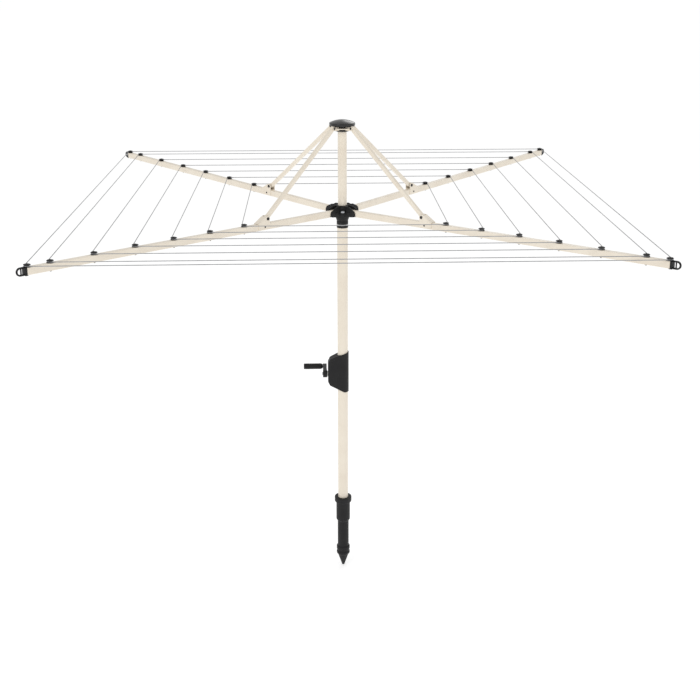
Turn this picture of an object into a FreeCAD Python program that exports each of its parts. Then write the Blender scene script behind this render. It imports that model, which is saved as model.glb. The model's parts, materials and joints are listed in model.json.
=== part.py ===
import FreeCAD, Part
import math
import os

# Rotary clothesline: a ground socket and a winding mast that carries a folding head of four arms.
# Millimetres, +Z up. The origin is on the mast's axis at ground level, under the socket's collar.
# "radial" pieces are drawn in the XZ plane, with X pointing away from the mast, and turned to each arm.

V = FreeCAD.Vector
X_AXIS = V(1, 0, 0)
Y_AXIS = V(0, 1, 0)
Z_AXIS = V(0, 0, 1)

# Head
ARM_AZIMUTHS = [45.0, 135.0, 225.0, 315.0]
LINE_RADII = [1750.0, 1650.0, 1450.0, 1250.0, 1050.0, 850.0, 650.0]
ARM_RISE = 2.245            # degrees above level when the head is open
ARM_PIVOT_RADIUS = 58.0
ARM_PIVOT_Z = 1626.5
ARM_HEIGHT = 30.0
ARM_WIDTH = 25.0
ARM_WALL = 1.6
ARM_INNER_END = -12.0       # along the arm from its pivot
ARM_TUBE_LENGTH = 1701.0    # pivot to the tube's outer end
PIN_RADIUS = 4.0

# Line guides and line
GUIDE_RADIUS = 14.5
GROOVE_RADIUS = 9.0
GUIDE_BASE = 2.5
GROOVE_HEIGHT = 5.2
GUIDE_HEIGHT = 12.0
LINE_DIAMETER = 3.6
LINE_TURN_RADIUS = GROOVE_RADIUS + LINE_DIAMETER / 2 + 0.1
LINE_LEVEL = ARM_HEIGHT / 2 + GUIDE_BASE + GROOVE_HEIGHT / 2
LINE_GAP = 0.3              # between a span's end and the turn it meets

# Stays and crown
STAY_FOOT = (517.0, 1681.0)     # radius and height of the stay's lower pin
STAY_TOP = (67.0, 2041.0)       # radius and height of the crown pin
STAY_BELOW = 11.5            # the tube's faces, below and above the line between its pins
STAY_ABOVE = 7.5
STAY_EYE_RADIUS = 9.5
STAY_WIDTH = 15.0
STAY_HOOK_RADIUS = 9.0
CROWN_PIN_RADIUS = 3.0
HOOK_SLOT_HALF = 4.0
HOOK_MOUTH_ANGLE = 176.3        # degrees, the way the hook opens when the head is open
LUG_GAP_HALF = 8.8
LUG_THICKNESS = 3.2

# Masts
OUTER_MAST_RADIUS = 27.0
OUTER_MAST_BORE = 25.0
OUTER_MAST_BOTTOM = -249.5
OUTER_MAST_TOP = 1545.0
INNER_MAST_RADIUS = 22.0
INNER_MAST_BORE = 20.0
INNER_MAST_BOTTOM = 893.0
INNER_MAST_TOP = 2040.0
SLIDING_BORE = 22.4

# Winder
CRANK_Z = 757.0
CRANK_THROW = 108.0
SHAFT_RADIUS = 6.0
BUSH_BORE = 6.05
PINION_MODULE = 1.5
PINION_TEETH = 14
PITCH_RADIUS = PINION_MODULE * PINION_TEETH / 2
TOOTH_PITCH = math.pi * PINION_MODULE
TOOTH_THICKNESS = TOOTH_PITCH / 2 - 0.25
PRESSURE_ANGLE = math.radians(20)
RACK_BOTTOM = 335.0
RACK_TOP = 872.0
RACK_HALF_WIDTH = 8.0
RACK_BACK = 20.0
NOSE_X = -78.0


def cylinder(radius, length, start, axis=Z_AXIS):
    return Part.makeCylinder(radius, length, V(*start), axis)


def block(x0, x1, y0, y1, z0, z1):
    return Part.makeBox(x1 - x0, y1 - y0, z1 - z0, V(x0, y0, z0))


def prism_y(points, y0, y1):
    """A flat outline of (x, z) points, extruded from y0 to y1."""
    face = Part.Face(Part.makePolygon([V(x, y0, z) for x, z in points + points[:1]]))
    return face.extrude(V(0, y1 - y0, 0))


def prism_z(points, z0, z1):
    """A flat outline of (x, y) points, extruded from z0 to z1."""
    face = Part.Face(Part.makePolygon([V(x, y, z0) for x, y in points + points[:1]]))
    return face.extrude(V(0, 0, z1 - z0))


def prism_x(points, x0, x1):
    """A flat outline of (y, z) points, extruded from x0 to x1."""
    face = Part.Face(Part.makePolygon([V(x0, y, z) for y, z in points + points[:1]]))
    return face.extrude(V(x1 - x0, 0, 0))


def turned(points):
    """A solid of revolution about Z, from (radius, z) points."""
    face = Part.Face(Part.makePolygon([V(r, 0, z) for r, z in points + points[:1]]))
    return face.revolve(V(0, 0, 0), Z_AXIS, 360)


def ring(outer, inner, z0, z1):
    return cylinder(outer, z1 - z0, (0, 0, z0)).cut(cylinder(inner, z1 - z0 + 2, (0, 0, z0 - 1)))


def tilted(shape, angle, origin):
    """Turn a shape drawn along +X up by angle degrees in the XZ plane, and move it to (radius, z)."""
    moved = shape.copy()
    moved.rotate(V(0, 0, 0), Y_AXIS, -angle)
    moved.translate(V(origin[0], 0, origin[1]))
    return moved


def at_azimuth(shape, azimuth):
    moved = shape.copy()
    moved.rotate(V(0, 0, 0), Z_AXIS, azimuth)
    return moved


def on_arm(shape):
    """From the arm's own frame (along, across, up from its pivot) to the radial plane."""
    return tilted(shape, ARM_RISE, (ARM_PIVOT_RADIUS, ARM_PIVOT_Z))


def arm_frame(radius, z):
    """A radial point as (along, up) in the arm's own frame."""
    rise = math.radians(ARM_RISE)
    dx = radius - ARM_PIVOT_RADIUS
    dz = z - ARM_PIVOT_Z
    return dx * math.cos(rise) + dz * math.sin(rise), dz * math.cos(rise) - dx * math.sin(rise)


def guide_place(radius):
    """How far along the arm a guide stands so that its line runs at this radius."""
    rise = math.radians(ARM_RISE)
    return (radius - ARM_PIVOT_RADIUS + LINE_LEVEL * math.sin(rise)) / math.cos(rise)


def line_height(radius):
    rise = math.radians(ARM_RISE)
    along = guide_place(radius)
    return ARM_PIVOT_Z + along * math.sin(rise) + LINE_LEVEL * math.cos(rise)


GUIDE_PLACES = [guide_place(radius) for radius in LINE_RADII]
FOOT_ALONG, FOOT_UP = arm_frame(*STAY_FOOT)
STAY_LENGTH = math.dist(STAY_FOOT, STAY_TOP)
STAY_ANGLE = math.degrees(math.atan2(STAY_FOOT[1] - STAY_TOP[1], STAY_FOOT[0] - STAY_TOP[0]))
RIVET_PLACES = [FOOT_ALONG + 17.0]


def save(name, shape):
    shape.exportStep(os.path.join("parts", name + ".step"))


def save_group(name, solids):
    save(name, Part.makeCompound(solids))


# ---------------------------------------------------------------- ground and mast

def ground_socket():
    outline = [(0, -405), (7, -402), (30, -331), (36.3, -325), (36.3, -313), (32.5, -310),
               (32.5, -300), (36.5, -297), (36.5, -281), (30.4, -276), (30.4, -120), (37.5, -108),
               (37.5, 0), (43, 0), (46, 4), (46, 28), (44, 30), (0, 30)]
    bore = cylinder(OUTER_MAST_RADIUS + 0.1, 300, (0, 0, -250))
    return turned(outline).cut(bore)


def outer_mast():
    tube = ring(OUTER_MAST_RADIUS, OUTER_MAST_BORE, OUTER_MAST_BOTTOM, OUTER_MAST_TOP)
    return tube.cut(cylinder(9, 80, (-40, 0, CRANK_Z), X_AXIS))


def mast_top_bush():
    outline = [(SLIDING_BORE, 1500), (OUTER_MAST_BORE, 1500), (OUTER_MAST_BORE, 1545), (28.9, 1545),
               (28.9, 1558), (SLIDING_BORE, 1558)]
    return turned(outline)


def thrust_washer():
    return ring(28.9, SLIDING_BORE, 1558, 1563)


# ---------------------------------------------------------------- winder

def winder_block():
    """The housing's outer form: a slant-ended sleeve on the mast with a tapering nose, edges rounded."""
    side = prism_y([(31, 882), (-29, 863), (-68, 844), (NOSE_X, 823), (NOSE_X, 717), (-68, 697),
                    (8, 660), (31, 659)], -34, 34)
    corners = [e for e in side.Edges if e.BoundBox.XMax < -40 and e.BoundBox.YLength > 60]
    side = side.makeFillet(9, corners)
    plan = prism_z([(0, 31), (-30, 30), (-66, 25), (NOSE_X, 20), (NOSE_X, -20), (-66, -25),
                    (-30, -30), (0, -31)], 640, 900)
    uprights = [e for e in plan.Edges if e.BoundBox.ZLength > 200 and e.BoundBox.XMax < -60]
    plan = plan.makeFillet(6, uprights).fuse(cylinder(31, 260, (0, 0, 640)))
    body = side.common(plan)
    return body.makeFillet(3, [e for e in body.Edges if e.BoundBox.XMax < -20])


def winder_body():
    body = winder_block()
    cavity_side = prism_y([(-74.5, 726), (-74.5, 816), (-64, 828), (-31, 828), (-31, 709), (-64, 711)],
                          -34, 34)
    cavity_plan = prism_z([(-31, 26.5), (-62, 22), (-74.5, 14), (-74.5, -14), (-62, -22), (-31, -26.5)],
                          700, 840)
    body = body.cut(cavity_side.common(cavity_plan))
    body = body.cut(cylinder(OUTER_MAST_RADIUS, 300, (0, 0, 630)))
    body = body.cut(cylinder(10, 20, (-85, 0, CRANK_Z), X_AXIS))
    body = body.cut(cylinder(9, 87, (-60, 0, CRANK_Z), X_AXIS))
    body = body.cut(brake_plate())
    for screw in winder_screw_solids():
        body = body.cut(screw)
    return body


WINDER_SCREW_PLACES = [(-40, 841), (-60, 836), (-40, 697), (-60, 703)]


def winder_screw_solids():
    screws = []
    for x, z in WINDER_SCREW_PLACES:
        head = cylinder(4.2, 14, (x, -36, z), Y_AXIS)
        shank = cylinder(1.8, 36, (x, -22.5, z), Y_AXIS)
        screws.append(head.fuse(shank))
    return screws


def winder_screws():
    """Cap screws, each with its head sunk level with the shell's face and a hex socket in it."""
    trimmed = []
    for (x, z), screw in zip(WINDER_SCREW_PLACES, winder_screw_solids()):
        face_y = -30 + (abs(x) - 30) * 5 / 36
        above = block(x - 8, x + 8, -60, face_y + 0.8, z - 8, z + 8)
        socket = Part.Face(Part.makePolygon([
            V(x + 2.2 * math.cos(math.radians(60 * i)), face_y - 2, z + 2.2 * math.sin(math.radians(60 * i)))
            for i in range(7)])).extrude(V(0, 4.5, 0))
        trimmed.append(screw.cut(above).cut(socket))
    return trimmed


def winder_shell(side):
    half = block(-100, 60, -60, 0, 600, 900) if side == "front" else block(-100, 60, 0, 60, 600, 900)
    return winder_body().common(half)


def crank_bushes():
    nose = cylinder(10, 12, (-82, 0, CRANK_Z), X_AXIS).fuse(cylinder(15, 4, (-82, 0, CRANK_Z), X_AXIS))
    nose = nose.cut(cylinder(BUSH_BORE, 30, (-90, 0, CRANK_Z), X_AXIS))
    left = cylinder(9, 7, (-31, 0, CRANK_Z), X_AXIS).cut(cylinder(BUSH_BORE, 30, (-40, 0, CRANK_Z), X_AXIS))
    right = cylinder(9, 4.5, (22.5, 0, CRANK_Z), X_AXIS)
    right = right.cut(cylinder(BUSH_BORE, 20, (15, 0, CRANK_Z), X_AXIS))
    return [nose, left, right]


def brake_plate():
    """The pad's backing plate, whose long edges stand in slots in the two shells."""
    plate = block(-43, -39, -26.5, 26.5, CRANK_Z - 24, CRANK_Z + 24)
    return plate.cut(cylinder(8, 9, (-45, 0, CRANK_Z), X_AXIS))


def brake_pad():
    pad = cylinder(19, 5, (-48, 0, CRANK_Z), X_AXIS).cut(cylinder(8, 9, (-50, 0, CRANK_Z), X_AXIS))
    return pad.fuse(brake_plate())


def brake_disc():
    disc = cylinder(20, 4, (-52.4, 0, CRANK_Z), X_AXIS).fuse(cylinder(10, 10, (-62, 0, CRANK_Z), X_AXIS))
    return disc.cut(cylinder(SHAFT_RADIUS, 20, (-65, 0, CRANK_Z), X_AXIS))


def crank_shaft():
    shaft = cylinder(SHAFT_RADIUS, 130, (-104.5, 0, CRANK_Z), X_AXIS)
    head = Part.Face(Part.makePolygon([
        V(-108.5, 8 * math.cos(math.radians(60 * i)), CRANK_Z + 8 * math.sin(math.radians(60 * i)))
        for i in range(7)])).extrude(V(4, 0, 0))
    return shaft.fuse(head)


def crank_arm():
    big, small = 20.0, 14.0
    web = prism_x([(0, CRANK_Z - big), (CRANK_THROW, CRANK_Z - small), (CRANK_THROW, CRANK_Z + small),
                   (0, CRANK_Z + big)], -103, -84)
    hub = cylinder(big, 22, (-104.5, 0, CRANK_Z), X_AXIS)
    tip = cylinder(small, 20, (-103.5, CRANK_THROW, CRANK_Z), X_AXIS)
    arm = web.fuse(hub).fuse(tip)
    arm = arm.cut(cylinder(SHAFT_RADIUS, 40, (-110, 0, CRANK_Z), X_AXIS))
    return arm.cut(cylinder(PIN_RADIUS, 40, (-110, CRANK_THROW, CRANK_Z), X_AXIS))


def grip_pin():
    pin = cylinder(PIN_RADIUS, 113.7, (-198.2, CRANK_THROW, CRANK_Z), X_AXIS)
    return pin.fuse(cylinder(7, 3, (-201.2, CRANK_THROW, CRANK_Z), X_AXIS))


def crank_grip():
    """A round hand grip that turns on its pin, with shallow finger rings and a necked inner end."""
    outline = [(4.06, 0), (10, 0), (13, 4), (15.5, 12), (15.5, 90), (14.9, 93), (15.5, 96),
               (15.5, 99), (13, 101.5), (0, 101.5), (0, 98), (7.6, 98), (7.6, 93.5), (4.06, 93.5)]
    grip = turned(outline)
    for i in range(6):
        groove = ring(20, 14.9, 24 + 9 * i, 26 + 9 * i)
        grip = grip.cut(groove)
    grip.rotate(V(0, 0, 0), Y_AXIS, -90)
    grip.translate(V(-104.2, CRANK_THROW, CRANK_Z))
    return grip


def involute(angle):
    return math.tan(angle) - angle


def pinion():
    base = PITCH_RADIUS * math.cos(PRESSURE_ANGLE)
    tip = PITCH_RADIUS + 1.4
    root = PITCH_RADIUS - 1.75
    flank = []
    for i in range(6):
        radius = base + (tip - base) * i / 5
        half = (TOOTH_THICKNESS / (2 * PITCH_RADIUS) + involute(PRESSURE_ANGLE)
                - involute(math.acos(min(1.0, base / radius))))
        flank.append((radius, half))
    flank.insert(0, (root, flank[0][1]))
    outline = []
    for tooth in range(PINION_TEETH):
        middle = (tooth + 0.5) * 2 * math.pi / PINION_TEETH
        for radius, half in flank:
            outline.append((radius, middle - half))
        for radius, half in reversed(flank):
            outline.append((radius, middle + half))
    points = [(r * math.cos(a), CRANK_Z + r * math.sin(a)) for r, a in outline]
    return prism_x(points, -7.5, 7.5).cut(cylinder(SHAFT_RADIUS, 40, (-20, 0, CRANK_Z), X_AXIS))


# ---------------------------------------------------------------- lift

def lift_rack():
    """A straight rack whose teeth face the pinion; a tooth stands level with the crank at rest."""
    crest, root = PITCH_RADIUS - 1.2, PITCH_RADIUS + 1.8
    slope = math.tan(PRESSURE_ANGLE)
    crest_half = TOOTH_THICKNESS / 2 - 1.2 * slope
    root_half = TOOTH_THICKNESS / 2 + 1.8 * slope
    first = math.ceil((RACK_BOTTOM + 4 - CRANK_Z) / TOOTH_PITCH)
    last = math.floor((RACK_TOP - 12 - CRANK_Z) / TOOTH_PITCH)
    outline = [(RACK_BACK, RACK_BOTTOM), (root, RACK_BOTTOM)]
    for tooth in range(first, last + 1):
        z = CRANK_Z + tooth * TOOTH_PITCH
        outline += [(root, z - root_half), (crest, z - crest_half), (crest, z + crest_half),
                    (root, z + root_half)]
    outline += [(root, RACK_TOP), (RACK_BACK, RACK_TOP)]
    return prism_x(outline, -RACK_HALF_WIDTH, RACK_HALF_WIDTH)


def lift_carriage():
    return cylinder(24.5, 8, (0, 0, RACK_TOP))


def thrust_ring():
    return ring(21, 9, RACK_TOP + 8, RACK_TOP + 13)


# ---------------------------------------------------------------- turning mast and crown

def inner_mast():
    tube = ring(INNER_MAST_RADIUS, INNER_MAST_BORE, INNER_MAST_BOTTOM, INNER_MAST_TOP)
    return tube.cut(cylinder(5.5, 30, (0, 0, LOCK_Z), V(0, -1, 0)))


def mast_foot():
    return turned([(0, 885.3), (24.5, 885.3), (24.5, 893), (INNER_MAST_BORE, 893),
                   (INNER_MAST_BORE, 930), (0, 930)])


def crown_collar():
    return ring(33, INNER_MAST_RADIUS, 2022, 2036)


def crown_lug(side):
    """One cheek of a stay's fork: it runs out from the crown plate and holds the crown pin."""
    outline = [(33.2, 2029), (64, 2029), (72, 2031), (77, 2037), (77, 2046), (33.2, 2046)]
    y0 = LUG_GAP_HALF if side > 0 else -LUG_GAP_HALF - LUG_THICKNESS
    lug = prism_y(outline, y0, y0 + LUG_THICKNESS)
    return lug.cut(cylinder(CROWN_PIN_RADIUS, 60, (STAY_TOP[0], -30, STAY_TOP[1]), Y_AXIS))


def crown_plate():
    plate = ring(57, INNER_MAST_RADIUS, 2036, 2040)
    for azimuth in ARM_AZIMUTHS:
        for side in (1, -1):
            plate = plate.fuse(at_azimuth(crown_lug(side), azimuth))
    return plate.removeSplitter()


def crown_pins():
    edge = LUG_GAP_HALF + LUG_THICKNESS
    pin = cylinder(CROWN_PIN_RADIUS, 2 * edge, (STAY_TOP[0], -edge, STAY_TOP[1]), Y_AXIS)
    for y in (-edge - 2.5, edge):
        pin = pin.fuse(cylinder(5.5, 2.5, (STAY_TOP[0], y, STAY_TOP[1]), Y_AXIS))
    return [at_azimuth(pin, azimuth) for azimuth in ARM_AZIMUTHS]


def top_cap():
    """A shallow hollow dome with a rounded shoulder, and a plug that sits in the mast's top end."""
    rim, rim_bottom, crest, wall, dome_radius = 63.0, 2050.5, 2077.0, 3.2, 140.0
    centre = V(0, 0, crest - dome_radius)
    dome = cylinder(rim, 40, (0, 0, rim_bottom)).common(Part.makeSphere(dome_radius, centre))
    shoulder = [e for e in dome.Edges if len(e.Vertexes) == 1 and e.BoundBox.ZMin > rim_bottom + 5]
    dome = dome.makeFillet(5.0, shoulder)
    hollow = cylinder(rim - wall, 40, (0, 0, rim_bottom - 1))
    hollow = hollow.common(Part.makeSphere(dome_radius - wall, centre))
    hollow = hollow.cut(cylinder(30, 60, (0, 0, rim_bottom - 10)))
    stem = cylinder(30, 24, (0, 0, INNER_MAST_TOP)).fuse(cylinder(INNER_MAST_BORE, 40, (0, 0, 2005)))
    return dome.cut(hollow).fuse(stem).removeSplitter()


# ---------------------------------------------------------------- hub and lock

LOCK_Z = 1632.0
LOCK_STEM_RADIUS = 5.0
YOKE_GAP_HALF = 13.2
YOKE_THICKNESS = 3.8


def hub_yoke(side):
    outline = [(26, 1606), (60, 1608), (88, 1612), (100, 1616), (99, 1630), (92, 1642), (60, 1658),
               (26, 1660)]
    y0 = YOKE_GAP_HALF if side > 0 else -YOKE_GAP_HALF - YOKE_THICKNESS
    cheek = prism_y(outline, y0, y0 + YOKE_THICKNESS)
    return cheek.cut(cylinder(PIN_RADIUS, 60, (ARM_PIVOT_RADIUS, -30, ARM_PIVOT_Z), Y_AXIS))


def hub_body():
    """The sliding hub: a necked sleeve on the inner mast with a two-cheeked yoke for each arm."""
    outline = [(SLIDING_BORE, 1563.5), (28.4, 1563.5), (28.9, 1564.5), (28.9, 1577), (27.9, 1578),
               (27.9, 1581), (28.9, 1582), (36, 1602), (36, 1652), (31, 1659), (SLIDING_BORE, 1659)]
    hub = turned(outline)
    for azimuth in ARM_AZIMUTHS:
        for side in (1, -1):
            hub = hub.fuse(at_azimuth(hub_yoke(side), azimuth))
    hub = hub.fuse(cylinder(10.5, 20, (0, -42, LOCK_Z), Y_AXIS))
    hub = hub.cut(cylinder(SLIDING_BORE, 120, (0, 0, 1550)))
    hub = hub.cut(cylinder(8.5, 12.5, (0, -41, LOCK_Z), Y_AXIS))
    return hub.cut(cylinder(LOCK_STEM_RADIUS + 0.05, 30, (0, -45, LOCK_Z), Y_AXIS)).removeSplitter()


def hub_pins():
    edge = YOKE_GAP_HALF + YOKE_THICKNESS
    pin = cylinder(PIN_RADIUS, 2 * edge, (ARM_PIVOT_RADIUS, -edge, ARM_PIVOT_Z), Y_AXIS)
    for y in (-edge - 2.0, edge):
        pin = pin.fuse(cylinder(6, 2.0, (ARM_PIVOT_RADIUS, y, ARM_PIVOT_Z), Y_AXIS))
    return [at_azimuth(pin, azimuth) for azimuth in ARM_AZIMUTHS]


def lock_button():
    """The pull button that keeps the hub down; its nose stops at the mouth of the mast's hole."""
    nose_y = -INNER_MAST_RADIUS - 0.6
    stem = cylinder(LOCK_STEM_RADIUS, 25, (0, nose_y - 25, LOCK_Z), Y_AXIS)
    collar = cylinder(7.4, 1.6, (0, -30.5, LOCK_Z), Y_AXIS)
    tab = block(-8.5, 8.5, nose_y - 26, nose_y - 22, LOCK_Z - 3.8, LOCK_Z + 3.8)
    tab = tab.makeFillet(2.5, [e for e in tab.Edges if abs(e.Length - 4) < 0.01])
    return stem.fuse(collar).fuse(tab)


def lock_spring():
    """The spring's envelope, between the boss's lip and the button's collar."""
    return cylinder(7.4, 10.1, (0, -41, LOCK_Z), Y_AXIS).cut(cylinder(5.4, 14, (0, -42, LOCK_Z), Y_AXIS))


# ---------------------------------------------------------------- arms

def arm_tube():
    half_h, half_w = ARM_HEIGHT / 2, ARM_WIDTH / 2
    tube = block(ARM_INNER_END, ARM_TUBE_LENGTH, -half_w, half_w, -half_h, half_h)
    tube = tube.makeFillet(2.5, [e for e in tube.Edges if e.Length > 1000])
    inner_h, inner_w = half_h - ARM_WALL, half_w - ARM_WALL
    tube = tube.cut(block(ARM_INNER_END - 5, ARM_TUBE_LENGTH + 5, -inner_w, inner_w, -inner_h, inner_h))
    tube = tube.cut(cylinder(PIN_RADIUS + 0.06, 60, (0, -30, 0), Y_AXIS))
    for along in GUIDE_PLACES:
        tube = tube.cut(cylinder(2.5, 60, (along, 0, -30)))
    for along in RIVET_PLACES:
        tube = tube.cut(cylinder(2.5, 60, (along, -30, 0), Y_AXIS))
    return on_arm(tube)


def guide_solid(along):
    """One line guide: a round base, a groove that the line runs in, and a domed top."""
    groove_top = GUIDE_BASE + GROOVE_HEIGHT
    outline = [(2.5, 0), (GUIDE_RADIUS - 2, 0), (GUIDE_RADIUS - 0.6, 0.6), (GUIDE_RADIUS, 1.5),
               (GUIDE_RADIUS - 0.6, GUIDE_BASE), (GROOVE_RADIUS, GUIDE_BASE), (GROOVE_RADIUS, groove_top),
               (GUIDE_RADIUS - 0.6, groove_top), (GUIDE_RADIUS, groove_top + 0.8),
               (GUIDE_RADIUS - 0.8, groove_top + 2.2), (GUIDE_RADIUS - 3, groove_top + 3.5),
               (7, GUIDE_HEIGHT), (2.5, GUIDE_HEIGHT)]
    guide = turned(outline)
    guide.translate(V(along, 0, ARM_HEIGHT / 2))
    return on_arm(guide)


def guide_screw(along):
    """A screw down through the guide and the arm, with its nut under the arm."""
    half = ARM_HEIGHT / 2
    screw = cylinder(2.5, ARM_HEIGHT + GUIDE_HEIGHT + 5.5, (along, 0, -half - 5))
    head = Part.makeSphere(5.5, V(along, 0, half + GUIDE_HEIGHT - 3.2))
    head = head.common(block(along - 8, along + 8, -8, 8, half + GUIDE_HEIGHT, half + GUIDE_HEIGHT + 8))
    nut = cylinder(4.2, 3.5, (along, 0, -half - 3.5))
    return on_arm(screw.fuse(head).fuse(nut))


def arm_tip():
    """The arm's end cap: a plug, a square collar and an upright D-shaped loop with a bar across it."""
    half_h, half_w = ARM_HEIGHT / 2, ARM_WIDTH / 2
    end = ARM_TUBE_LENGTH
    loop_half, window_half, thick = 17.5, 11.0, 2.5
    bend = end + 24
    plug = block(end - 4, end, -half_w + ARM_WALL, half_w - ARM_WALL, -half_h + ARM_WALL, half_h - ARM_WALL)
    collar = block(end, end + 8, -half_w - 1, half_w + 1, -half_h - 2, half_h)
    collar = collar.makeFillet(2.0, [e for e in collar.Edges if abs(e.Length - 8) < 0.01])
    loop = block(end + 8, bend, -thick, thick, -loop_half, loop_half)
    loop = loop.fuse(cylinder(loop_half, 2 * thick, (bend, -thick, 0), Y_AXIS))
    window = block(end + 8.5, end + 18.5, -9, 9, -window_half, window_half)
    outer_window = cylinder(window_half, 18, (bend, -9, 0), Y_AXIS)
    outer_window = outer_window.common(block(end + 22.5, end + 60, -9, 9, -20, 20))
    return on_arm(plug.fuse(collar).fuse(loop).cut(window).cut(outer_window))


BRACKET_INNER = ARM_WIDTH / 2 + 0.2
BRACKET_OUTER = BRACKET_INNER + 3.0


def stay_bracket():
    """A folded saddle over the arm: two cheeks that carry the stay's foot pin, and a strap on top."""
    half_h = ARM_HEIGHT / 2
    outline = [(FOOT_ALONG - 12, -10), (FOOT_ALONG + 56, -10), (FOOT_ALONG + 58, half_h + 2),
               (FOOT_ALONG + 10, FOOT_UP + 9.5), (FOOT_ALONG + 4, FOOT_UP + 11.5),
               (FOOT_ALONG - 6, FOOT_UP + 11.5), (FOOT_ALONG - 12, FOOT_UP + 5)]
    bracket = prism_y(outline, -BRACKET_OUTER, -BRACKET_INNER)
    bracket = bracket.fuse(prism_y(outline, BRACKET_INNER, BRACKET_OUTER))
    strap = block(FOOT_ALONG - 12, FOOT_ALONG + 56, -BRACKET_OUTER, BRACKET_OUTER, half_h, half_h + 2.5)
    web = prism_y([(FOOT_ALONG + 58, half_h + 2), (FOOT_ALONG + 10, FOOT_UP + 9.5),
                   (FOOT_ALONG + 8.6, FOOT_UP + 8), (FOOT_ALONG + 54.6, half_h + 2)],
                  -BRACKET_OUTER, BRACKET_OUTER)
    bracket = bracket.fuse(strap).fuse(web)
    bracket = bracket.cut(cylinder(PIN_RADIUS, 60, (FOOT_ALONG, -30, FOOT_UP), Y_AXIS))
    for along in RIVET_PLACES:
        bracket = bracket.cut(cylinder(2.5, 60, (along, -30, 0), Y_AXIS))
    return on_arm(bracket)


def bracket_pins():
    """The stay's foot pin with its two spacers, and the rivets that hold the bracket to the arm."""
    def headed(along, up, radius, head, head_depth):
        edge = BRACKET_OUTER
        pin = cylinder(radius, 2 * edge, (along, -edge, up), Y_AXIS)
        for y in (-edge - head_depth, edge):
            pin = pin.fuse(cylinder(head, head_depth, (along, y, up), Y_AXIS))
        return pin
    foot_pin = headed(FOOT_ALONG, FOOT_UP, PIN_RADIUS, 7.0, 3.0)
    for y in (-BRACKET_INNER, STAY_WIDTH / 2 + 0.4):
        foot_pin = foot_pin.fuse(cylinder(6.5, BRACKET_INNER - STAY_WIDTH / 2 - 0.4,
                                          (FOOT_ALONG, y, FOOT_UP), Y_AXIS))
    pins = [foot_pin] + [headed(along, 0, 2.5, 4.0, 1.5) for along in RIVET_PLACES]
    return [on_arm(pin) for pin in pins]


def stay():
    """A rectangular tube from the crown to the arm: a plain eye at its foot, an open hook at its top."""
    half_w = STAY_WIDTH / 2
    tube = block(13, STAY_LENGTH - 6, -half_w, half_w, -STAY_BELOW, STAY_ABOVE)
    tube = tube.makeFillet(2.0, [e for e in tube.Edges if e.Length > 500])
    eye = cylinder(STAY_EYE_RADIUS, STAY_WIDTH, (STAY_LENGTH, -half_w, 0), Y_AXIS)
    eye = eye.fuse(block(STAY_LENGTH - 12, STAY_LENGTH, -half_w, half_w, -STAY_EYE_RADIUS, STAY_EYE_RADIUS))
    hollow = block(34, STAY_LENGTH - 30, -half_w + 1.5, half_w - 1.5, -STAY_BELOW + 1.5, STAY_ABOVE - 1.5)
    hook = cylinder(STAY_HOOK_RADIUS, STAY_WIDTH, (0, -half_w, 0), Y_AXIS)
    hook = hook.fuse(block(0, 14, -half_w, half_w, -STAY_HOOK_RADIUS, STAY_HOOK_RADIUS))
    body = tube.fuse(eye).fuse(hook).cut(hollow)
    body = body.cut(cylinder(PIN_RADIUS + 0.06, 40, (STAY_LENGTH, -20, 0), Y_AXIS))
    body = body.cut(cylinder(HOOK_SLOT_HALF, 40, (0, -20, 0), Y_AXIS))
    mouth = block(0, 30, -20, 20, -HOOK_SLOT_HALF, HOOK_SLOT_HALF)
    mouth.rotate(V(0, 0, 0), Y_AXIS, -(HOOK_MOUTH_ANGLE - STAY_ANGLE))
    return tilted(body.cut(mouth), STAY_ANGLE, STAY_TOP)


# ---------------------------------------------------------------- lines

def line_turn(radius):
    """The quarter turn of line round the outside of one guide's groove."""
    section = Part.Face(Part.Wire(Part.makeCircle(LINE_DIAMETER / 2, V(LINE_TURN_RADIUS, 0, 0), Y_AXIS)))
    trim = math.degrees(LINE_GAP / LINE_TURN_RADIUS)
    turn = section.revolve(V(0, 0, 0), Z_AXIS, 90 - 2 * trim)
    turn.rotate(V(0, 0, 0), Z_AXIS, -45 + trim)
    turn.translate(V(guide_place(radius), 0, LINE_LEVEL))
    return on_arm(turn)


def line_span(radius):
    """The straight run from the arm at azimuth 0 to the one at azimuth 90."""
    out = LINE_TURN_RADIUS / math.sqrt(2)
    z = line_height(radius)
    start = V(radius + out, out, z)
    direction = V(-1, 1, 0)
    direction.normalize()
    length = (radius * math.sqrt(2)) - 2 * LINE_GAP
    start = start + direction * LINE_GAP
    return Part.makeCylinder(LINE_DIAMETER / 2, length, start, direction)


def lines():
    solids = []
    for radius in LINE_RADII:
        solids.append(line_turn(radius))
        solids.append(line_span(radius))
    return solids


# ---------------------------------------------------------------- assembly

def save_fixed_parts():
    save("ground_socket", ground_socket())
    save("outer_mast", outer_mast())
    save("mast_top_bush", mast_top_bush())
    save("thrust_washer", thrust_washer())
    save("winder_shell_front", winder_shell("front"))
    save("winder_shell_back", winder_shell("back"))
    save_group("winder_screws", winder_screws())
    save_group("crank_bushes", crank_bushes())
    save("brake_pad", brake_pad())


def save_winder_moving_parts():
    save("crank_shaft", crank_shaft())
    save("pinion", pinion())
    save("brake_disc", brake_disc())
    save("crank_arm", crank_arm())
    save("grip_pin", grip_pin())
    save("crank_grip", crank_grip())
    save("lift_rack", lift_rack())
    save("lift_carriage", lift_carriage())
    save("thrust_ring", thrust_ring())


def save_head_centre():
    save("inner_mast", inner_mast())
    save("mast_foot", mast_foot())
    save("crown_collar", crown_collar())
    save("crown_plate", crown_plate())
    save_group("crown_pins", crown_pins())
    save("top_cap", top_cap())
    save("hub_body", hub_body())
    save_group("hub_pins", hub_pins())
    save("lock_button", lock_button())
    save("lock_spring", lock_spring())


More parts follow.
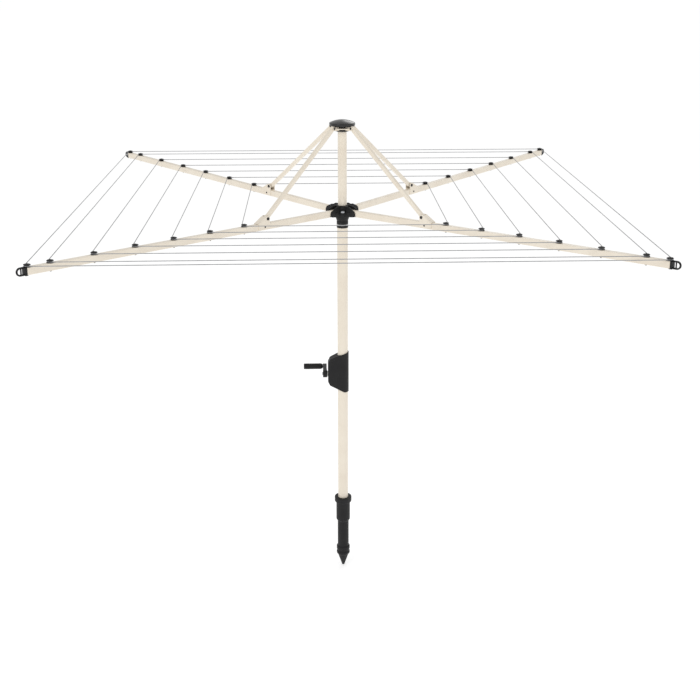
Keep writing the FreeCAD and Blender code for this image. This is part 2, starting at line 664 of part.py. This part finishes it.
def save_arms():
    single = {"arm_tube": arm_tube(), "arm_tip": arm_tip(), "stay_bracket": stay_bracket(), "stay": stay()}
    groups = {"line_guides": [guide_solid(along) for along in GUIDE_PLACES],
              "guide_screws": [guide_screw(along) for along in GUIDE_PLACES],
              "bracket_pins": bracket_pins(),
              "lines": lines()}
    for number, azimuth in enumerate(ARM_AZIMUTHS, 1):
        for name, shape in single.items():
            save(f"{name}_{number}", at_azimuth(shape, azimuth))
        for name, solids in groups.items():
            save_group(f"{name}_{number}", [at_azimuth(solid, azimuth) for solid in solids])


os.makedirs("parts", exist_ok=True)
save_fixed_parts()
save_winder_moving_parts()
save_head_centre()
save_arms()
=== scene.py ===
import json
import math

import bmesh
import bpy
from mathutils import Matrix, Vector


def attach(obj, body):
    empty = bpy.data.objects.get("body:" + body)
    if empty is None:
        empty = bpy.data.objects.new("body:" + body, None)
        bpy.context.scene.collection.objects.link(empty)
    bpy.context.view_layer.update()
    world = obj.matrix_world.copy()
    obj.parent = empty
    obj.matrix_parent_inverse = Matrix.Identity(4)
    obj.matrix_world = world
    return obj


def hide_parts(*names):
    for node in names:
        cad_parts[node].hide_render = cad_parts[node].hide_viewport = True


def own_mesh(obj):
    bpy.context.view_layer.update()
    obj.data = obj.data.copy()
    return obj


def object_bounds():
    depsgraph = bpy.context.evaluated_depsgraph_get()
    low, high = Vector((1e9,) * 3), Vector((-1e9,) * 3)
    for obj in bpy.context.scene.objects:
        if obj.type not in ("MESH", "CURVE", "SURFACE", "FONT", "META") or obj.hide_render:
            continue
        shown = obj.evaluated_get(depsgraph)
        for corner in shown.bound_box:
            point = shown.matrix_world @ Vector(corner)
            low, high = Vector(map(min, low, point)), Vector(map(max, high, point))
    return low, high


# Looks for the rotary clothesline, in metres, in the CAD model's frame: Z is the mast's axis.

# The same driving sizes as the CAD source's, in metres and degrees
ARM_AZIMUTHS = (45.0, 135.0, 225.0, 315.0)
LINE_RADII = (1.750, 1.650, 1.450, 1.250, 1.050, 0.850, 0.650)
ARM_RISE = 2.245
ARM_PIVOT = (0.058, 1.6265)          # radius and height
ARM_HEIGHT = 0.030
GROOVE_RADIUS = 0.009
GUIDE_BASE = 0.0025                  # the guide's flange below its groove
GROOVE_HEIGHT = 0.0052
LINE_DIAMETER = 0.0036
LINE_CLEARANCE = 0.0001
LINE_TURN_RADIUS = GROOVE_RADIUS + LINE_DIAMETER / 2 + LINE_CLEARANCE
LINE_LEVEL = ARM_HEIGHT / 2 + GUIDE_BASE + GROOVE_HEIGHT / 2
LINE_GAP = 0.0003                    # between a span's end and the turn it meets
FOLD_ANGLE = math.radians(80.0)      # how far an arm turns down over the whole fold

# How the lines are drawn
SPAN_STEPS = 24
TURN_STEPS = 14
TUBE_SIDES = 12

# The stage, in metres, watts and degrees
FLOOR_HALF = 150.0                   # its edge is past what the main camera sees
FLOOR_DROP = 0.002                   # below the socket's point
SKY_STRENGTH = 0.72
BACKDROP_STRENGTH = 1.05             # as the camera sees it, a plain white
LIGHTS_AIM = (0, 0, 1.4)
CAMERA_PLACE = (-0.149, -5.1315, 2.817)
CAMERA_TILT, CAMERA_TURN = 69.408, -2.0856
LENS = 53.98                         # in millimetres, as the sensor's width is
SENSOR_WIDTH = 36.0
VIEW_LIMIT = 500.0

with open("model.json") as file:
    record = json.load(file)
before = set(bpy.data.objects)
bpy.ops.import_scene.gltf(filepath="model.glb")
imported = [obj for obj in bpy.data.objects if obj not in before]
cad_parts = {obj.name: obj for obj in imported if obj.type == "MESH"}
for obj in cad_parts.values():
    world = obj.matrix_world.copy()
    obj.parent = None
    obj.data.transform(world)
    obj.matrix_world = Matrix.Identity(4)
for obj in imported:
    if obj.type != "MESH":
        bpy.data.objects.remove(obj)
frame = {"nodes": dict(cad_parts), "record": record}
cad_low, cad_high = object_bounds()
NODES = frame["nodes"]


# ---------------------------------------------------------------- materials

class Nodes:
    """A material's node tree, with short calls for the nodes used here."""

    def __init__(self, name):
        self.material = bpy.data.materials.new(name)
        self.material.use_nodes = True
        self.tree = self.material.node_tree
        self.shader = self.tree.nodes["Principled BSDF"]
        self.coordinates = self.tree.nodes.new("ShaderNodeTexCoord").outputs["Object"]

    def link(self, output, socket):
        self.tree.links.new(output, socket)

    def scaled(self, x, y, z):
        node = self.tree.nodes.new("ShaderNodeMapping")
        node.inputs["Scale"].default_value = (x, y, z)
        self.link(self.coordinates, node.inputs["Vector"])
        return node.outputs["Vector"]

    def noise(self, scale, detail=3.0, roughness=0.5, vector=None):
        node = self.tree.nodes.new("ShaderNodeTexNoise")
        node.inputs["Scale"].default_value = scale
        node.inputs["Detail"].default_value = detail
        node.inputs["Roughness"].default_value = roughness
        self.link(vector or self.coordinates, node.inputs["Vector"])
        return node.outputs["Fac"]

    def voronoi(self, scale):
        node = self.tree.nodes.new("ShaderNodeTexVoronoi")
        node.inputs["Scale"].default_value = scale
        self.link(self.coordinates, node.inputs["Vector"])
        return node.outputs["Distance"]

    def ramp(self, value, stops):
        node = self.tree.nodes.new("ShaderNodeValToRGB")
        ramp = node.color_ramp
        ramp.elements[0].position, ramp.elements[0].color = stops[0][0], (*stops[0][1], 1)
        ramp.elements[1].position, ramp.elements[1].color = stops[-1][0], (*stops[-1][1], 1)
        for position, colour in stops[1:-1]:
            ramp.elements.new(position).color = (*colour, 1)
        self.link(value, node.inputs["Fac"])
        return node.outputs["Color"]

    def mapped(self, value, low, high, start=0.0, end=1.0):
        node = self.tree.nodes.new("ShaderNodeMapRange")
        node.inputs["From Min"].default_value = start
        node.inputs["From Max"].default_value = end
        node.inputs["To Min"].default_value = low
        node.inputs["To Max"].default_value = high
        self.link(value, node.inputs["Value"])
        return node.outputs["Result"]

    def multiplied(self, first, second, share):
        """The first colour, darkened by the second as far as share says."""
        node = self.tree.nodes.new("ShaderNodeMix")
        node.data_type, node.blend_type = "RGBA", "MULTIPLY"
        node.inputs["Factor"].default_value = share
        self.link(first, node.inputs["A"])
        self.link(second, node.inputs["B"])
        return node.outputs["Result"]

    def mixed(self, factor, first, second):
        node = self.tree.nodes.new("ShaderNodeMix")
        node.data_type = "RGBA"
        self.link(factor, node.inputs["Factor"])
        for value, socket in ((first, node.inputs["A"]), (second, node.inputs["B"])):
            if isinstance(value, tuple):
                socket.default_value = (*value, 1)
            else:
                self.link(value, socket)
        return node.outputs["Result"]

    def edge(self, low=0.52, high=0.62):
        """1 on outward edges, 0 on flats."""
        geometry = self.tree.nodes.new("ShaderNodeNewGeometry")
        return self.mapped(geometry.outputs["Pointiness"], 0, 1, low, high)

    def bump(self, height, strength, distance):
        node = self.tree.nodes.new("ShaderNodeBump")
        node.inputs["Strength"].default_value = strength
        node.inputs["Distance"].default_value = distance
        self.link(height, node.inputs["Height"])
        self.link(node.outputs["Normal"], self.shader.inputs["Normal"])

    def set(self, **values):
        for name, value in values.items():
            self.shader.inputs[name.replace("_", " ")].default_value = value


def linear(r, g, b):
    """A colour given as 8-bit sRGB, in the renderer's linear values."""
    return tuple(c / 12.92 if c <= 0.04045 else ((c + 0.055) / 1.055) ** 2.4
                 for c in (r / 255, g / 255, b / 255))


def powder_coat():
    """Cream powder coat: a faint orange peel, slightly clouded, a little dust as fine dark specks all
    over.
    """
    m = Nodes("cream_powder_coat")
    cloud = m.noise(9.0, 4.0)
    tint = m.ramp(cloud, [(0.3, linear(230, 219, 202)), (0.7, linear(238, 229, 213))])
    speck = m.ramp(m.noise(900.0, 1.0), [(0.30, (0.80, 0.80, 0.80)), (0.42, (1, 1, 1))])
    m.link(m.multiplied(tint, speck, 0.15), m.shader.inputs["Base Color"])
    m.link(m.mapped(m.noise(40.0, 3.0), 0.34, 0.46), m.shader.inputs["Roughness"])
    m.set(Coat_Weight=0.25, Coat_Roughness=0.22)
    m.bump(m.noise(520.0, 2.0), 0.12, 0.0006)
    return m.material


def moulded_plastic(name, dark, light, low_roughness, high_roughness, grain, shine=0.4):
    """A moulded plastic with a fine spark-eroded grain, and a painted highlight that makes its edges a
    little lighter.
    """
    m = Nodes(name)
    base = m.ramp(m.noise(14.0, 4.0), [(0.3, dark), (0.75, light)])
    # painted highlight: outward edges are mixed to a colour 1.7 times lighter
    painted_edge_highlight = tuple(min(1.0, c * 1.7 + 0.006) for c in light)
    m.link(m.mixed(m.edge(0.53, 0.68), base, painted_edge_highlight), m.shader.inputs["Base Color"])
    m.link(m.mapped(m.noise(60.0, 3.0), low_roughness, high_roughness), m.shader.inputs["Roughness"])
    m.set(Specular_IOR_Level=shine)
    m.bump(m.noise(1400.0, 2.0, 0.7), grain, 0.0004)
    return m.material


def gloss_plastic():
    """A glossy black moulding with faint handling marks."""
    m = Nodes("gloss_black_plastic")
    base = m.ramp(m.noise(20.0, 3.0), [(0.3, linear(16, 16, 17)), (0.7, linear(23, 23, 24))])
    m.link(base, m.shader.inputs["Base Color"])
    m.link(m.mapped(m.noise(35.0, 5.0), 0.24, 0.38), m.shader.inputs["Roughness"])
    m.set(Coat_Weight=0.35, Coat_Roughness=0.16, Specular_IOR_Level=0.35)
    m.bump(m.noise(90.0, 2.0), 0.04, 0.0008)
    return m.material


def steel(name, colour, dark, roughness, stretch):
    """Plated steel with drawn streaks and a mottled plating."""
    m = Nodes(name)
    mottled = m.ramp(m.voronoi(160.0), [(0.2, dark), (0.8, colour)])
    streak = m.noise(60.0, 4.0, 0.6, m.scaled(*stretch))
    m.link(m.mixed(m.mapped(streak, 0.2, 0.8), mottled, colour), m.shader.inputs["Base Color"])
    m.link(m.mapped(streak, roughness, roughness + 0.18), m.shader.inputs["Roughness"])
    m.set(Metallic=1.0)
    m.bump(streak, 0.08, 0.0003)
    return m.material


def black_oxide():
    """Blackened steel heads, with a painted highlight that makes their rims a light grey."""
    m = Nodes("black_oxide_steel")
    base = m.ramp(m.noise(160.0, 4.0), [(0.3, linear(30, 30, 31)), (0.75, linear(48, 47, 47))])
    # painted highlight: the rims are mixed to a light grey
    m.link(m.mixed(m.edge(0.55, 0.75), base, linear(120, 120, 122)), m.shader.inputs["Base Color"])
    m.link(m.mapped(m.noise(220.0, 3.0), 0.38, 0.55), m.shader.inputs["Roughness"])
    m.set(Metallic=0.5)
    m.bump(m.noise(700.0, 2.0), 0.1, 0.0003)
    return m.material


def line_cover():
    """The line's smooth grey cover, slightly chalked, with a fine extruded grain."""
    m = Nodes("grey_line_cover")
    chalk = m.noise(30.0, 5.0, 0.6)
    colour = m.ramp(chalk, [(0.3, linear(140, 141, 144)), (0.7, linear(166, 167, 169))])
    m.link(colour, m.shader.inputs["Base Color"])
    m.link(m.mapped(chalk, 0.38, 0.58), m.shader.inputs["Roughness"])
    m.bump(m.noise(900.0, 2.0), 0.15, 0.0003)
    return m.material


def make_materials():
    along_mast = (1.0, 1.0, 0.04)
    dark, light = linear(22, 22, 23), linear(31, 31, 32)
    return {
        "cream_paint": powder_coat(),
        "black_plastic": moulded_plastic("black_plastic_moulding", dark, light, 0.45, 0.60, 0.22,
                                         shine=0.25),
        "gloss_black_plastic": gloss_plastic(),
        "black_steel": black_oxide(),
        "zinc_steel": steel("zinc_plated_steel", linear(176, 178, 181), linear(150, 153, 158), 0.34,
                            along_mast),
        "grey_plastic": moulded_plastic("grey_plastic_moulding", linear(176, 176, 175),
                                        linear(190, 190, 188), 0.40, 0.5, 0.12),
        "white_plastic": moulded_plastic("white_acetal", linear(214, 214, 210),
                                         linear(226, 226, 222), 0.35, 0.45, 0.10),
        "brake_rubber": moulded_plastic("brake_lining", linear(52, 48, 44), linear(74, 68, 60),
                                        0.75, 0.9, 0.5),
        "grey_line": line_cover(),
    }


MATERIALS = make_materials()
SLOT_OF = {row["node"]: row["material_slot"] for row in frame["record"]["subparts"]}


def paint(piece, slot):
    piece.data.materials.clear()
    piece.data.materials.append(MATERIALS[slot])


# ---------------------------------------------------------------- CAD nodes

# How round each moulded or folded node's edges are, in metres. The rest keep a small deburred edge.
EDGE_ROUNDING = {"hub_body": 0.0012, "winder_shell_front": 0.0012, "winder_shell_back": 0.0012,
                 "crank_arm": 0.0018, "crank_grip": 0.0012, "ground_socket": 0.0015,
                 "mast_top_bush": 0.001, "thrust_washer": 0.0008, "crown_collar": 0.0012,
                 "crown_plate": 0.0006, "top_cap": 0.0008, "arm_tip": 0.0011, "line_guides": 0.0006,
                 "stay_bracket": 0.0006, "stay": 0.0006}
SMALL_EDGE = 0.0003
EDGE_SEGMENTS = 3
EDGE_ANGLE = math.radians(28)
FLAT_ANGLE = math.radians(0.5)       # faces closer to level than this become one
WELD_DISTANCE = 0.000005


def family(node):
    """A node's name without its arm's number."""
    name, _, number = node.rpartition("_")
    return name if number.isdigit() else node


def round_edges(piece, width):
    """Joins the CAD mesh's split points, rounds its edges, and shades the result smooth."""
    weld = piece.modifiers.new("weld", "WELD")
    weld.merge_threshold = WELD_DISTANCE
    flat = piece.modifiers.new("flat", "DECIMATE")
    flat.decimate_type = "DISSOLVE"
    flat.angle_limit = FLAT_ANGLE
    bevel = piece.modifiers.new("edges", "BEVEL")
    bevel.width = width
    bevel.segments = EDGE_SEGMENTS
    bevel.limit_method = "ANGLE"
    bevel.angle_limit = EDGE_ANGLE
    bevel.use_clamp_overlap = True
    piece.modifiers.new("normals", "WEIGHTED_NORMAL").keep_sharp = False


def shorten_lock_spring():
    """The lock spring, between the hub's lip and the button's collar, gets a mesh of its own."""
    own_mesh(NODES["lock_spring"])


def finish_cad_node(name):
    piece = NODES[name]
    paint(piece, SLOT_OF[name])
    for polygon in piece.data.polygons:
        polygon.use_smooth = True
    round_edges(piece, EDGE_ROUNDING.get(family(name), SMALL_EDGE))


# ---------------------------------------------------------------- lines

def guide_place(radius):
    """How far along the arm a guide stands so that its line runs at this radius."""
    rise = math.radians(ARM_RISE)
    return (radius - ARM_PIVOT[0] + LINE_LEVEL * math.sin(rise)) / math.cos(rise)


def line_height(radius):
    rise = math.radians(ARM_RISE)
    return ARM_PIVOT[1] + guide_place(radius) * math.sin(rise) + LINE_LEVEL * math.cos(rise)


def around(azimuth):
    return Matrix.Rotation(math.radians(azimuth), 4, "Z")


def hinge(azimuth):
    """An arm's pivot point and its axis, which turns the arm down."""
    a = math.radians(azimuth)
    pivot = Vector((ARM_PIVOT[0] * math.cos(a), ARM_PIVOT[0] * math.sin(a), ARM_PIVOT[1]))
    return pivot, Vector((-math.sin(a), math.cos(a), 0))


def turned_down(point, azimuth, angle):
    pivot, axis = hinge(azimuth)
    return Matrix.Rotation(angle, 3, axis) @ (point - pivot) + pivot


def new_piece(name, mesh):
    piece = bpy.data.objects.new(name, mesh)
    bpy.context.scene.collection.objects.link(piece)
    return piece


def tube_mesh(name, path, radius):
    """A round tube along points, with closed ends."""
    mesh, work = bpy.data.meshes.new(name), bmesh.new()
    rings = []
    up = Vector((0, 0, 1))
    for i, point in enumerate(path):
        before, after = path[max(i - 1, 0)], path[min(i + 1, len(path) - 1)]
        ahead = (after - before).normalized()
        side = ahead.cross(up).normalized()
        over = side.cross(ahead)
        rings.append([work.verts.new(point + radius * (side * math.cos(t) + over * math.sin(t)))
                      for t in (2 * math.pi * s / TUBE_SIDES for s in range(TUBE_SIDES))])
    for first, second in zip(rings, rings[1:]):
        for s in range(TUBE_SIDES):
            other = (s + 1) % TUBE_SIDES
            work.faces.new((first[s], first[other], second[other], second[s]))
    work.faces.new(list(reversed(rings[0])))
    work.faces.new(rings[-1])
    bmesh.ops.recalc_face_normals(work, faces=work.faces)
    for face in work.faces:
        face.smooth = len(face.verts) == 4
    work.to_mesh(mesh)
    work.free()
    return mesh


def turn_path(radius, azimuth):
    """The quarter turn of line round the outside of a guide's groove."""
    rise = Matrix.Rotation(-math.radians(ARM_RISE), 4, "Y")
    place = Matrix.Translation((ARM_PIVOT[0], 0, ARM_PIVOT[1])) @ rise
    trim = LINE_GAP / LINE_TURN_RADIUS
    points = []
    for i in range(TURN_STEPS + 1):
        t = -math.pi / 4 + trim + (math.pi / 2 - 2 * trim) * i / TURN_STEPS
        local = Vector((guide_place(radius) + LINE_TURN_RADIUS * math.cos(t),
                        LINE_TURN_RADIUS * math.sin(t), LINE_LEVEL))
        points.append(around(azimuth) @ (place @ local))
    return points


def span_ends(radius, azimuth):
    """Where a span leaves the guide on one arm and where it meets the next arm's."""
    out = LINE_TURN_RADIUS / math.sqrt(2)
    z = line_height(radius)
    start, end = Vector((radius + out, out, z)), Vector((out, radius + out, z))
    along = (end - start).normalized() * LINE_GAP
    return around(azimuth) @ (start + along), around(azimuth) @ (end - along)


def shrink_with_fold(piece, far, azimuth, next_azimuth):
    """Works out where the far end would go as the head folds and the next arm's guide comes nearer; that
    point is not used, and the span only gets a mesh of its own.
    """
    folded = turned_down(far, next_azimuth, FOLD_ANGLE)
    folded = turned_down(folded, azimuth, -FOLD_ANGLE)
    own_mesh(piece)


def make_line(index, number, azimuth):
    radius = LINE_RADII[index]
    near, far = span_ends(radius, azimuth)
    path = [near.lerp(far, i / SPAN_STEPS) for i in range(SPAN_STEPS + 1)]
    name = f"line_{number}_{index + 1}"
    span = new_piece(name + "_span", tube_mesh(name + "_span", path, LINE_DIAMETER / 2))
    turn = new_piece(name + "_turn", tube_mesh(name + "_turn", turn_path(radius, azimuth),
                                               LINE_DIAMETER / 2))
    for piece in (span, turn):
        paint(piece, "grey_line")
        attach(piece, f"arm_{number}")
        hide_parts(f"lines_{number}")
    shrink_with_fold(span, far, azimuth, azimuth + 90)


# ---------------------------------------------------------------- stage

def make_stage():
    floor_mesh = bpy.data.meshes.new("floor")
    size, low = FLOOR_HALF, cad_low.z - FLOOR_DROP
    floor_mesh.from_pydata([(-size, -size, low), (size, -size, low), (size, size, low),
                            (-size, size, low)], [], [(0, 1, 2, 3)])
    floor = new_piece("floor", floor_mesh)
    m = Nodes("pale_floor")
    m.set(Base_Color=(0.90, 0.90, 0.90, 1), Roughness=1.0, Specular_IOR_Level=0.0,
          Emission_Color=(1, 1, 1, 1), Emission_Strength=0.36)
    floor.data.materials.append(m.material)


def add_area(name, place, size, energy):
    light = bpy.data.lights.new(name, "AREA")
    light.shape = "DISK"
    light.size = size
    light.energy = energy
    lamp = bpy.data.objects.new(name, light)
    lamp.location = place
    lamp.rotation_euler = (Vector(LIGHTS_AIM) - Vector(place)).to_track_quat("-Z", "Y").to_euler()
    bpy.context.scene.collection.objects.link(lamp)


def make_lights():
    world = bpy.data.worlds.new("studio")
    world.use_nodes = True
    nodes, links = world.node_tree.nodes, world.node_tree.links
    background = nodes["Background"]
    background.inputs["Color"].default_value = (1, 1, 1, 1)
    rays = nodes.new("ShaderNodeLightPath")
    strength = nodes.new("ShaderNodeMapRange")
    strength.inputs["To Min"].default_value = SKY_STRENGTH
    strength.inputs["To Max"].default_value = BACKDROP_STRENGTH
    links.new(rays.outputs["Is Camera Ray"], strength.inputs["Value"])
    links.new(strength.outputs["Result"], background.inputs["Strength"])
    bpy.context.scene.world = world
    add_area("key", (-3.5, -4.5, 5.0), size=3.0, energy=62)
    add_area("fill", (4.5, -3.5, 3.0), size=3.5, energy=18)
    add_area("rim", (1.5, 4.5, 4.5), size=2.5, energy=30)


def make_camera():
    data = bpy.data.cameras.new("camera")
    data.sensor_width = SENSOR_WIDTH
    data.lens = LENS
    data.clip_end = VIEW_LIMIT
    camera = bpy.data.objects.new("camera", data)
    camera.location = CAMERA_PLACE
    camera.rotation_euler = (math.radians(CAMERA_TILT), 0, math.radians(CAMERA_TURN))
    bpy.context.scene.collection.objects.link(camera)
    bpy.context.scene.camera = camera


# ---------------------------------------------------------------- build

def main():
    make_camera()
    for name in NODES:
        finish_cad_node(name)
    shorten_lock_spring()
    for number, azimuth in enumerate(ARM_AZIMUTHS, 1):
        for index in range(len(LINE_RADII)):
            make_line(index, number, azimuth)
    make_stage()
    make_lights()
    bpy.context.scene.view_settings.view_transform = "Standard"


main()
